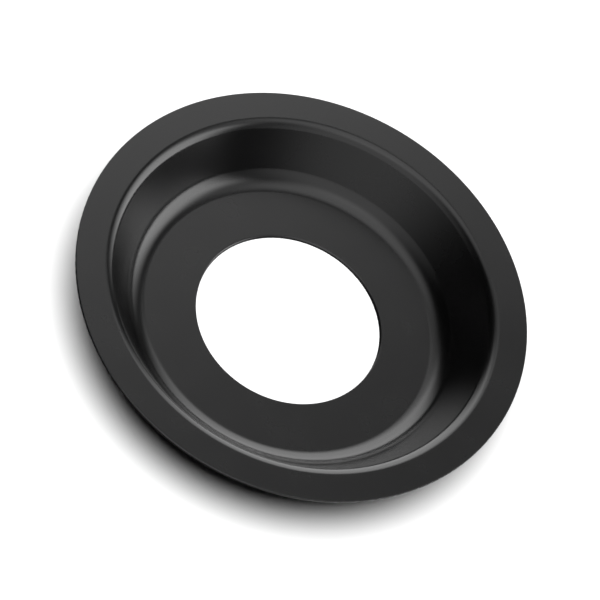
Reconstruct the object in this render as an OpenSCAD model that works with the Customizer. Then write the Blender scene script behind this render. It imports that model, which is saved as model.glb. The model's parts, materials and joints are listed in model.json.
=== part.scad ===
// Dished ring that hangs a kitchen waste disposer in a sink outlet that is too large for it.
// The rim lies on the sink, the dish hangs in the outlet, and the disposer's flange clamps to the floor.
// Millimetres, +Z up. The origin is the centre of the hole, on the underside of the flat floor.
// Every diameter of the dish is taken on the sheet's upper face.

/* [Ring] */
// Outside diameter of the flat rim
rim_d = 217; // [206:1:240]
// Diameter of the hole that the disposer's sink flange drops through
hole_d = 89.5; // [80:0.5:110]
// Depth of the dish, from the top of the rim to the top of the floor
dish_depth = 26; // [22:1:32]
// Thickness of the pressed sheet
sheet_t = 1.2; // [0.8:0.1:2]

/* [Wall and bends] */
// Diameter where the wall and the rim would meet if the shoulder were sharp
well_top_d = 183.4; // [178:0.1:190]
// Diameter where the wall and the floor would meet if the fillet were sharp
well_base_d = 151.7; // [144:0.1:158]
// Radius of the shoulder between the rim and the wall
shoulder_r = 5.8; // [3:0.1:8]
// Radius of the fillet between the wall and the floor
base_r = 12; // [6:0.5:14]

/* [Gasket] */
// Thickness of the rubber gasket under the rim
gasket_t = 2; // [1.5:0.1:3]
// How far the gasket's outer edge stands back from the rim's edge
gasket_setback = 2; // [1:0.5:4]
// Gap between the gasket's inner edge and the start of the shoulder
gasket_gap = 1; // [0.5:0.1:2]
// Number of sealing grooves in the gasket's lower face
groove_count = 2; // [1:1:3]
// Depth of a sealing groove
groove_depth = 0.6; // [0.3:0.1:1]

/* [Hidden] */

// Facets round the axis, and steps along each bend
round_fn = 180;
bend_steps = 16;

coat_black = [0.10, 0.10, 0.11];
rubber_black = [0.05, 0.05, 0.05];

rim_top_z = sheet_t + dish_depth;
seat_z = rim_top_z - sheet_t;
wall_angle = atan2(dish_depth, (well_top_d - well_base_d) / 2);

// Each bend has one centre, which the sheet's upper and lower faces share
base_bend_x = well_base_d / 2 - base_r * tan(wall_angle / 2);
base_bend = [base_bend_x, sheet_t + base_r];
shoulder_x = well_top_d / 2 + shoulder_r * tan(wall_angle / 2);
shoulder_bend = [shoulder_x, rim_top_z - shoulder_r];

gasket_in = shoulder_x + gasket_gap;
gasket_out = rim_d / 2 - gasket_setback;

// The lower face has groove_count grooves between groove_count + 1 lands, all of one width
land_w = (gasket_out - gasket_in) / (2 * groove_count + 1);

// Points along an arc about a centre, from one angle to another
function arc(centre, radius, from, to) =
    [for (i = [0:bend_steps])
        let (a = from + (to - from) * i / bend_steps)
        centre + radius * [cos(a), sin(a)]];

// The sheet's upper face, from the hole out to the rim's edge
function upper_face() = concat(
    [[hole_d / 2, sheet_t]],
    arc(base_bend, base_r, -90, wall_angle - 90),
    arc(shoulder_bend, shoulder_r, wall_angle + 90, 90),
    [[rim_d / 2, rim_top_z]]
);

// The sheet's lower face, from the rim's edge back to the hole
function lower_face() = concat(
    [[rim_d / 2, seat_z]],
    arc(shoulder_bend, shoulder_r - sheet_t, 90, wall_angle + 90),
    arc(base_bend, base_r + sheet_t, wall_angle - 90, -90),
    [[hole_d / 2, 0]]
);

// Pressed steel sheet, one piece from the hole to the rim
module sink_ring() {
    color(coat_black)
        rotate_extrude($fn = round_fn)
            polygon(concat(upper_face(), lower_face()));
}

// Square groove in the gasket's lower face, counted outwards from the inner edge
module groove(index) {
    translate([gasket_in + (2 * index + 1) * land_w, seat_z - gasket_t])
        square([land_w, groove_depth]);
}

// Rubber seal under the flat of the rim
module rim_gasket() {
    color(rubber_black)
        rotate_extrude($fn = round_fn)
            difference() {
                translate([gasket_in, seat_z - gasket_t])
                    square([gasket_out - gasket_in, gasket_t]);
                for (i = [0:groove_count - 1]) {
                    groove(i);
                }
            }
}

sink_ring();
rim_gasket();
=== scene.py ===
"""Looks of the dished sink ring and its gasket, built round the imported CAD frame. Metres, +Z up."""

import json
import math

import bpy
from mathutils import Matrix, Vector


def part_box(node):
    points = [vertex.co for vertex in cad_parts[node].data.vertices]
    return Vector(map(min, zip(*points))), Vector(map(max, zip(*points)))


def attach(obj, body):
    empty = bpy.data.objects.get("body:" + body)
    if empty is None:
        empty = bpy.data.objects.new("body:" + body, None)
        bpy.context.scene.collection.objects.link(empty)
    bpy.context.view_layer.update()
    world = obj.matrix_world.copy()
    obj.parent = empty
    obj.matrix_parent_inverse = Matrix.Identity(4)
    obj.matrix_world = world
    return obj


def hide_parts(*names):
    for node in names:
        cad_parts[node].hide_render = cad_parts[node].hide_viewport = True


MM = 0.001
MICRON = 0.000001

# Bends of the pressed sheet and places of the gasket, as the CAD source has them
WELL_TOP_R = 91.7 * MM
WELL_BASE_R = 75.85 * MM
SHOULDER_R = 5.8 * MM
BASE_R = 12 * MM
GASKET_GAP = 1 * MM
GROOVE_COUNT = 2
GROOVE_DEPTH = 0.6 * MM

# Rounding of the sheet's upper cut edges, each drawn down further on one side: the small radius, the wide
# one, the azimuth in degrees of the wide side's middle, and how many degrees from that middle the wide
# radius ends and the small one begins
RIM_EDGE = {"small": 0.14 * MM, "wide": 0.5 * MM, "middle": -108, "wide_ends": 34, "small_begins": 64}
HOLE_EDGE = {"small": 0.14 * MM, "wide": 1.1 * MM, "middle": 90, "wide_ends": 72, "small_begins": 102}

# Rounding of the sheet's lower cut edges, the same all round
LOWER_EDGE_R = 0.08 * MM

# Rounding that the mould leaves on the gasket
RUBBER_TOP_R = 0.12 * MM
RUBBER_EDGE_R = 0.25 * MM
GROOVE_R = 0.2 * MM

# Fineness of the turned meshes
RING_SEGMENTS = 360
GASKET_SEGMENTS = 240
BEND_STEPS = 40
UPPER_EDGE_STEPS = 16
LOWER_EDGE_STEPS = 6
RUBBER_STEPS = 5

# The black coating: colours, dullness, and the grain and height of its orange peel and fine texture
COAT_BLACK = (0.011, 0.011, 0.012)
COAT_BLACK_PALE = (0.017, 0.017, 0.018)
COAT_ROUGHNESS = 0.22
PEEL_GRAIN = 1.6 * MM
PEEL_HEIGHT = 4 * MICRON
FINE_GRAIN = 0.35 * MM
FINE_HEIGHT = 0.6 * MICRON
MOTTLE_GRAIN = 22 * MM

# How much the mottle, the fine texture and the thin coating on the cut edges change its dullness
MOTTLE_SHEEN = 0.016
FINE_SHEEN = 0.012
CUT_EDGE_DULLING = 0.1

# Distances from a cut edge between which that dulling fades out, and the grain of its patches
CUT_EDGE_FULL = 0.1 * MM
CUT_EDGE_NONE = 0.6 * MM
CUT_EDGE_GRAIN = 3 * MM

# The rubber: colours, dullness, and the grain and height of its skin and pits
RUBBER_BLACK = (0.016, 0.016, 0.016)
RUBBER_BLOOM = (0.030, 0.030, 0.029)
RUBBER_ROUGHNESS = 0.62
RUBBER_SHEEN = 0.1
SKIN_GRAIN = 4 * MM
SKIN_HEIGHT = 12 * MICRON
PIT_GRAIN = 0.5 * MM
PIT_HEIGHT = 10 * MICRON

# The bloom's grain, and the noise levels between which it comes in
BLOOM_GRAIN = 14 * MM
BLOOM_FROM = 0.45
BLOOM_FULL = 0.75

# The studio floor: half its width, how far it lies under the ring, and its grey, which is lit to white
FLOOR_HALF = 3.0
FLOOR_DROP = 0.1 * MM
FLOOR_CORNERS = ((-1, -1), (1, -1), (1, 1), (-1, 1))
FLOOR_GREY = 0.4

# The overhead lamp: how strong, and how many degrees wide
OVERHEAD_ENERGY = 10.6
OVERHEAD_SPREAD = 60

# The bright patches that the ring reflects, in degrees: azimuth from and to, elevation from and to,
# each with the blur of that edge, and the radiance
ALL_ROUND = (-200, 1, 200, 1)
WINDOWS = {
    "back_right": ((-6, 12, 52, 16), (-3, 10, 52, 12), 4.5),
    "back_left": ((82, 11, 139, 15), (-12, 3, 47, 6), 3.8),
    "haze_behind": ((92, 5, 117, 40), (41, 8, 56, 4), 2.2),
    "front": ((229, 33, 324, 29), (8, 4, 72, 14), 1.17),
    "ceiling": (ALL_ROUND, (66, 13, 120, 5), 1.7),
    "floor_in_reach": ((-40, 20, 150, 15), (-36, 6, -5, 6), 0.45),
    "floor_in_front": ((312, 15, 400, 15), (-75, 6, -38, 8), 0.8),
    "floor_below": (ALL_ROUND, (-120, 6, -76, 5), 0.8),
}
DIM_STUDIO = 0.02
WHITE_BACKDROP = 1.05

# The photograph's view of the ring
CAMERA_ELEVATION = 54.87
CAMERA_ROLL = -30.342
CAMERA_DISTANCE = 1826 * MM
CAMERA_LENS_MM = 238.1
CAMERA_REACH = 20
AIM_RIGHT = -2.25 * MM
AIM_UP = -3.94 * MM

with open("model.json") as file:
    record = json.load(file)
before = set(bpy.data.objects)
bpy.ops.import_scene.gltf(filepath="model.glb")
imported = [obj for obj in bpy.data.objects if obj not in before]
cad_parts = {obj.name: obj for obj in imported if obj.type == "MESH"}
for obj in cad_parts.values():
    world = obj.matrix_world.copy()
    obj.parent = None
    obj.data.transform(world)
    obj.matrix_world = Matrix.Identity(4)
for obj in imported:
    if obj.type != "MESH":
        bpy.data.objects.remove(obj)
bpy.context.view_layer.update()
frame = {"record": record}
record = frame["record"]


# ---------------------------------------------------------------- sizes read from the frame

bore = next(mount["dims"] for mount in record["mounts"] if mount["name"] == "disposer_hole")
ring_low, ring_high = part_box("sink_ring")
gasket_low, gasket_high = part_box("rim_gasket")
RIM_R = ring_high.x
RIM_TOP = ring_high.z
HOLE_R = bore["r_mm"] * MM
SHEET = bore["length_mm"] * MM
FLOOR_TOP = ring_low.z + SHEET
WALL_ANGLE = math.atan2(RIM_TOP - FLOOR_TOP, WELL_TOP_R - WELL_BASE_R)
SHOULDER_X = WELL_TOP_R + SHOULDER_R * math.tan(WALL_ANGLE / 2)
BASE_X = WELL_BASE_R - BASE_R * math.tan(WALL_ANGLE / 2)
GASKET_OUT = gasket_high.x
GASKET_IN = SHOULDER_X + GASKET_GAP
LAND_W = (GASKET_OUT - GASKET_IN) / (2 * GROOVE_COUNT + 1)

# Directions in a section through the axis
OUT = 0.0
UP = math.pi / 2
DOWN = -math.pi / 2
BACK = math.pi


# ---------------------------------------------------------------- turned meshes

def arc(centre, radius, start, end, steps, hollow=False):
    """Points (r, z) on an arc from one angle to another, each with the solid's outward normal."""
    points = []
    side = -1 if hollow else 1
    for i in range(steps + 1):
        angle = start + (end - start) * i / steps
        c = math.cos(angle)
        s = math.sin(angle)
        points.append(((centre[0] + radius * c, centre[1] + radius * s), (side * c, side * s)))
    return points


def turned(name, outline_at, segments, material):
    """A mesh turned round the Z axis, with its normals taken from the outline.

    outline_at gives the closed outline at an azimuth in degrees, as (point, normal) pairs.
    """
    count = len(outline_at(0))
    vertices = []
    normals = []
    faces = []
    for i in range(segments):
        angle = 2 * math.pi * i / segments
        c = math.cos(angle)
        s = math.sin(angle)
        j = (i + 1) % segments
        outline = outline_at(360 * i / segments)
        for k in range(count):
            (r, z), (normal_r, normal_z) = outline[k]
            vertices.append((r * c, r * s, z))
            normals.append((normal_r * c, normal_r * s, normal_z))
            m = (k + 1) % count
            faces.append((i * count + k, i * count + m, j * count + m, j * count + k))
    mesh = bpy.data.meshes.new(name)
    mesh.from_pydata(vertices, [], faces)
    mesh.shade_smooth()
    mesh.normals_split_custom_set_from_vertices(normals)
    mesh.materials.append(material)
    piece = bpy.data.objects.new(name, mesh)
    bpy.context.scene.collection.objects.link(piece)
    return piece


def edge_radius(edge, azimuth):
    """Radius of a cut edge at that azimuth in degrees."""
    aside = abs((azimuth - edge["middle"] + 180) % 360 - 180)
    fade = edge["small_begins"] - edge["wide_ends"]
    share = min(max((edge["small_begins"] - aside) / fade, 0), 1)
    share = share * share * (3 - 2 * share)
    return edge["small"] + (edge["wide"] - edge["small"]) * share


def ring_outline(azimuth):
    """The pressed sheet's section: upper face outwards, rim's edge, lower face back, hole's edge."""
    base = (BASE_X, FLOOR_TOP + BASE_R)
    shoulder = (SHOULDER_X, RIM_TOP - SHOULDER_R)
    wall_up = UP + WALL_ANGLE
    wall_down = DOWN + WALL_ANGLE
    rim = edge_radius(RIM_EDGE, azimuth)
    hole = edge_radius(HOLE_EDGE, azimuth)
    lower = LOWER_EDGE_R
    outline = arc(base, BASE_R, DOWN, wall_down, BEND_STEPS, hollow=True)
    outline += arc(shoulder, SHOULDER_R, wall_up, UP, BEND_STEPS)
    outline += arc((RIM_R - rim, RIM_TOP - rim), rim, UP, OUT, UPPER_EDGE_STEPS)
    outline += arc((RIM_R - lower, RIM_TOP - SHEET + lower), lower, OUT, DOWN, LOWER_EDGE_STEPS)
    outline += arc(shoulder, SHOULDER_R - SHEET, UP, wall_up, BEND_STEPS, hollow=True)
    outline += arc(base, BASE_R + SHEET, wall_down, DOWN, BEND_STEPS)
    outline += arc((HOLE_R + lower, ring_low.z + lower), lower, DOWN, -BACK, LOWER_EDGE_STEPS)
    outline += arc((HOLE_R + hole, FLOOR_TOP - hole), hole, BACK, UP, UPPER_EDGE_STEPS)
    return outline


def groove_outline(inner, outer):
    """One sealing groove in the gasket's lower face, from its outer lip round to its inner lip."""
    radius = GROOVE_R
    lip_z = gasket_low.z + radius
    roof_z = gasket_low.z + GROOVE_DEPTH - radius
    outline = arc((outer + radius, lip_z), radius, DOWN, -BACK, RUBBER_STEPS)
    outline += arc((outer - radius, roof_z), radius, OUT, UP, RUBBER_STEPS, hollow=True)
    outline += arc((inner + radius, roof_z), radius, UP, BACK, RUBBER_STEPS, hollow=True)
    outline += arc((inner - radius, lip_z), radius, OUT, DOWN, RUBBER_STEPS)
    return outline


def gasket_outline():
    """The gasket's section: top outwards, outer edge, grooved lower face back, inner edge."""
    top = RUBBER_TOP_R
    edge = RUBBER_EDGE_R
    outline = arc((GASKET_IN + top, gasket_high.z - top), top, BACK, UP, RUBBER_STEPS)
    outline += arc((GASKET_OUT - top, gasket_high.z - top), top, UP, OUT, RUBBER_STEPS)
    outline += arc((GASKET_OUT - edge, gasket_low.z + edge), edge, OUT, DOWN, RUBBER_STEPS)
    for index in reversed(range(GROOVE_COUNT)):
        inner = GASKET_IN + (2 * index + 1) * LAND_W
        outline += groove_outline(inner, inner + LAND_W)
    outline += arc((GASKET_IN + edge, gasket_low.z + edge), edge, DOWN, -BACK, RUBBER_STEPS)
    return outline


# ---------------------------------------------------------------- shader nodes

def put(tree, value, socket):
    """Link a socket to an input, or set the input to a plain value."""
    if isinstance(value, bpy.types.NodeSocket):
        tree.links.new(value, socket)
    else:
        socket.default_value = value


def calc(tree, operation, *values):
    """The result of a Math node on sockets and numbers."""
    made = tree.nodes.new("ShaderNodeMath")
    made.operation = operation
    for socket, value in zip(made.inputs, values):
        put(tree, value, socket)
    return made.outputs[0]


def soft_step(tree, value, dark, full):
    """0 where the value is at dark, 1 where it is at full, and a smooth step between them."""
    step = tree.nodes.new("ShaderNodeMapRange")
    step.interpolation_type = "SMOOTHSTEP"
    put(tree, value, step.inputs["Value"])
    put(tree, dark, step.inputs["From Min"])
    put(tree, full, step.inputs["From Max"])
    return step.outputs["Result"]


def noise(tree, place, grain, detail=2.0):
    """Smooth noise from 0 to 1 with grains of that size in metres."""
    made = tree.nodes.new("ShaderNodeTexNoise")
    put(tree, place, made.inputs["Vector"])
    made.inputs["Scale"].default_value = 1 / grain
    made.inputs["Detail"].default_value = detail
    return made.outputs["Fac"]


def vary(tree, middle, swing, pattern):
    """A number that swings by that much to either side as the pattern goes from 0 to 1."""
    shifted = calc(tree, "SUBTRACT", pattern, 0.5)
    return calc(tree, "MULTIPLY_ADD", shifted, 2 * swing, middle)


def mix_colours(tree, share, first, second):
    """One colour turning into another as share goes from 0 to 1."""
    mix = tree.nodes.new("ShaderNodeMix")
    mix.data_type = "RGBA"
    put(tree, share, mix.inputs["Factor"])
    put(tree, (*first, 1), mix.inputs["A"])
    put(tree, (*second, 1), mix.inputs["B"])
    return mix.outputs["Result"]


def bumps(tree, layers):
    """A normal roughened by (pattern, height in metres) layers."""
    normal = None
    for pattern, height in layers:
        bump = tree.nodes.new("ShaderNodeBump")
        bump.inputs["Strength"].default_value = 1
        bump.inputs["Distance"].default_value = height
        put(tree, pattern, bump.inputs["Height"])
        if normal:
            put(tree, normal, bump.inputs["Normal"])
        normal = bump.outputs["Normal"]
    return normal


def new_material(name):
    """A material with its node tree and its shader."""
    material = bpy.data.materials.new(name)
    material.use_nodes = True
    tree = material.node_tree
    return material, tree, tree.nodes["Principled BSDF"]


def place_on_object(tree):
    """The place on the object, in metres."""
    return tree.nodes.new("ShaderNodeTexCoord").outputs["Object"]


# ---------------------------------------------------------------- materials

def near_cut_edges(tree, place):
    """1 on the sheet's cut edges at the rim and the hole, fading to 0 just inside them."""
    flat = tree.nodes.new("ShaderNodeVectorMath")
    flat.operation = "MULTIPLY"
    put(tree, place, flat.inputs[0])
    flat.inputs[1].default_value = (1, 1, 0)
    length = tree.nodes.new("ShaderNodeVectorMath")
    length.operation = "LENGTH"
    put(tree, flat.outputs["Vector"], length.inputs[0])
    radius = length.outputs["Value"]
    at_rim = soft_step(tree, radius, RIM_R - CUT_EDGE_NONE, RIM_R - CUT_EDGE_FULL)
    at_hole = soft_step(tree, radius, HOLE_R + CUT_EDGE_NONE, HOLE_R + CUT_EDGE_FULL)
    return calc(tree, "ADD", at_rim, at_hole)


def black_coat():
    """Satin black coating: orange peel, a fine grain, a slow mottle of sheen, duller on the cut edges."""
    material, tree, shader = new_material("black_coat")
    place = place_on_object(tree)
    peel = noise(tree, place, PEEL_GRAIN)
    grain = noise(tree, place, FINE_GRAIN)
    mottle = noise(tree, place, MOTTLE_GRAIN, detail=4)
    patches = noise(tree, place, CUT_EDGE_GRAIN, detail=4)
    thin = calc(tree, "MULTIPLY", near_cut_edges(tree, place), patches)
    colour = mix_colours(tree, mottle, COAT_BLACK, COAT_BLACK_PALE)
    dullness = vary(tree, COAT_ROUGHNESS, MOTTLE_SHEEN, mottle)
    dullness = calc(tree, "ADD", dullness, vary(tree, 0, FINE_SHEEN, grain))
    dullness = calc(tree, "MULTIPLY_ADD", thin, CUT_EDGE_DULLING, dullness)
    normal = bumps(tree, [(peel, PEEL_HEIGHT), (grain, FINE_HEIGHT)])
    put(tree, colour, shader.inputs["Base Color"])
    put(tree, dullness, shader.inputs["Roughness"])
    put(tree, normal, shader.inputs["Normal"])
    return material


def black_rubber():
    """Moulded rubber: matt, finely pitted, with a pale bloom in patches."""
    material, tree, shader = new_material("black_rubber")
    place = place_on_object(tree)
    pits = noise(tree, place, PIT_GRAIN, detail=3)
    skin = noise(tree, place, SKIN_GRAIN, detail=3)
    bloom = soft_step(tree, noise(tree, place, BLOOM_GRAIN, detail=5), BLOOM_FROM, BLOOM_FULL)
    colour = mix_colours(tree, bloom, RUBBER_BLACK, RUBBER_BLOOM)
    dullness = vary(tree, RUBBER_ROUGHNESS, RUBBER_SHEEN, skin)
    normal = bumps(tree, [(skin, SKIN_HEIGHT), (pits, PIT_HEIGHT)])
    put(tree, colour, shader.inputs["Base Color"])
    put(tree, dullness, shader.inputs["Roughness"])
    put(tree, normal, shader.inputs["Normal"])
    return material


def pale_floor():
    """Plain matt grey for the studio floor, with no sheen."""
    material, _, shader = new_material("pale_floor")
    shader.inputs["Base Color"].default_value = (FLOOR_GREY, FLOOR_GREY, FLOOR_GREY, 1)
    shader.inputs["Roughness"].default_value = 1
    shader.inputs["Specular IOR Level"].default_value = 0
    return material


# ---------------------------------------------------------------- the pieces

def pressed_ring(material):
    """The ring as pressed, with the cut edges rounded."""
    piece = turned("pressed_ring", ring_outline, RING_SEGMENTS, material)
    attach(piece, "root")
    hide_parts("sink_ring")


def moulded_gasket(material):
    """The gasket as moulded, with rounded corners and grooves."""
    outline = gasket_outline()
    piece = turned("moulded_gasket", lambda azimuth: outline, GASKET_SEGMENTS, material)
    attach(piece, "root")
    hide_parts("rim_gasket")


pressed_ring(black_coat())
moulded_gasket(black_rubber())


# ---------------------------------------------------------------- studio

def studio_floor():
    """A wide plain floor just under the ring. The ring reflects the studio's patches in its place."""
    mesh = bpy.data.meshes.new("studio_floor")
    floor_z = ring_low.z - FLOOR_DROP
    corners = [(FLOOR_HALF * x, FLOOR_HALF * y, floor_z) for x, y in FLOOR_CORNERS]
    mesh.from_pydata(corners, [], [(0, 1, 2, 3)])
    mesh.materials.append(pale_floor())
    floor = bpy.data.objects.new("studio_floor", mesh)
    bpy.context.scene.collection.objects.link(floor)
    floor.visible_glossy = False
    return floor


def window(tree, azimuth, elevation, sides, ends, radiance):
    """A soft-edged bright patch: (from, blur, to, blur) in azimuth, and the same in elevation."""
    first, first_blur, last, last_blur = sides
    low, low_blur, high, high_blur = ends
    half = (last - first) / 2
    aside = calc(tree, "WRAP", calc(tree, "SUBTRACT", azimuth, first + half), 180, -180)
    steps = (
        soft_step(tree, aside, -half - first_blur, -half + first_blur),
        soft_step(tree, aside, half + last_blur, half - last_blur),
        soft_step(tree, elevation, low - low_blur, low + low_blur),
        soft_step(tree, elevation, high + high_blur, high - high_blur),
    )
    patch = radiance
    for step in steps:
        patch = calc(tree, "MULTIPLY", patch, step)
    return patch


def studio_world():
    """White for the camera. For reflections, a dim studio with the bright patches."""
    world = bpy.data.worlds.new("studio")
    bpy.context.scene.world = world
    world.use_nodes = True
    world.cycles_visibility.diffuse = False
    tree = world.node_tree
    parts = tree.nodes.new("ShaderNodeSeparateXYZ")
    put(tree, tree.nodes.new("ShaderNodeTexCoord").outputs["Generated"], parts.inputs[0])
    x, y, z = parts.outputs
    azimuth = calc(tree, "DEGREES", calc(tree, "ARCTAN2", y, x))
    elevation = calc(tree, "DEGREES", calc(tree, "ARCSINE", z))
    glow = DIM_STUDIO
    for sides, ends, radiance in WINDOWS.values():
        glow = calc(tree, "ADD", glow, window(tree, azimuth, elevation, sides, ends, radiance))
    seen = tree.nodes.new("ShaderNodeLightPath").outputs["Is Camera Ray"]
    mix = tree.nodes.new("ShaderNodeMix")
    put(tree, seen, mix.inputs["Factor"])
    put(tree, glow, mix.inputs["A"])
    put(tree, WHITE_BACKDROP, mix.inputs["B"])
    put(tree, mix.outputs["Result"], tree.nodes["Background"].inputs["Strength"])
    put(tree, (1, 1, 1, 1), tree.nodes["Background"].inputs["Color"])


def overhead_lamp(receiver):
    """A wide lamp straight above that lights the floor alone, and so draws the ring's shadow on it."""
    data = bpy.data.lights.new("overhead", "SUN")
    data.energy = OVERHEAD_ENERGY
    data.angle = math.radians(OVERHEAD_SPREAD)
    lamp = bpy.data.objects.new("overhead", data)
    lamp.visible_glossy = False
    bpy.context.scene.collection.objects.link(lamp)
    lit = bpy.data.collections.new("lit_by_overhead")
    lit.objects.link(receiver)
    lamp.light_linking.receiver_collection = lit


def rolled_camera():
    """Looks down at the ring from the front, rolled so that it leans as in the photograph."""
    tilt = math.radians(90 - CAMERA_ELEVATION)
    roll = math.radians(CAMERA_ROLL)
    across = Vector((1, 0, 0))
    away = Vector((0, math.cos(tilt), math.sin(tilt)))
    back = Vector((0, -math.sin(tilt), math.cos(tilt)))
    right = across * math.cos(roll) - away * math.sin(roll)
    up = across * math.sin(roll) + away * math.cos(roll)
    aim = Vector((0, 0, RIM_TOP)) + right * AIM_RIGHT + up * AIM_UP
    data = bpy.data.cameras.new("camera")
    data.lens = CAMERA_LENS_MM
    data.clip_end = CAMERA_REACH
    camera = bpy.data.objects.new("camera", data)
    turn = Matrix((right, up, back)).transposed().to_4x4()
    camera.matrix_world = Matrix.Translation(aim + back * CAMERA_DISTANCE) @ turn
    bpy.context.scene.collection.objects.link(camera)
    bpy.context.scene.camera = camera


studio_world()
overhead_lamp(studio_floor())
rolled_camera()
bpy.context.scene.view_settings.view_transform = "Standard"
